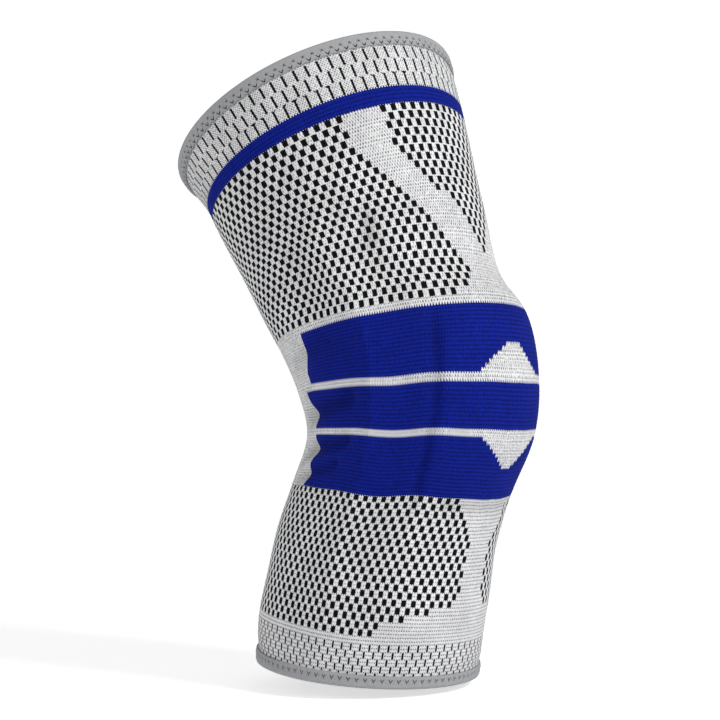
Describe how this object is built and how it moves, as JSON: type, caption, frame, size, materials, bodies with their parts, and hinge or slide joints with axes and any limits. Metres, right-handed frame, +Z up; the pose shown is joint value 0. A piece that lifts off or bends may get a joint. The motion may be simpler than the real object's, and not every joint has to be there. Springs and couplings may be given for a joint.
{
  "type": "knee sleeve",
  "caption": "Knitted compression sleeve for a knee, open at thigh and calf, in its worn bent shape, with taped edges.",
  "frame": {"origin": "centre of the knee, inside the hollow, halfway up the blue bands", "axes": "+Z up, +X to the front of the knee; the leg bends in the XZ plane, thigh and calf towards -X"},
  "size_m": [0.1924, 0.152, 0.3229],
  "materials": {
    "knit": "matte",
    "tape": "matte"
  },
  "bodies": {
    "root": {"knit_sleeve": "knit", "top_binding": "tape", "bottom_binding": "tape"}
  },
  "joints": []
}
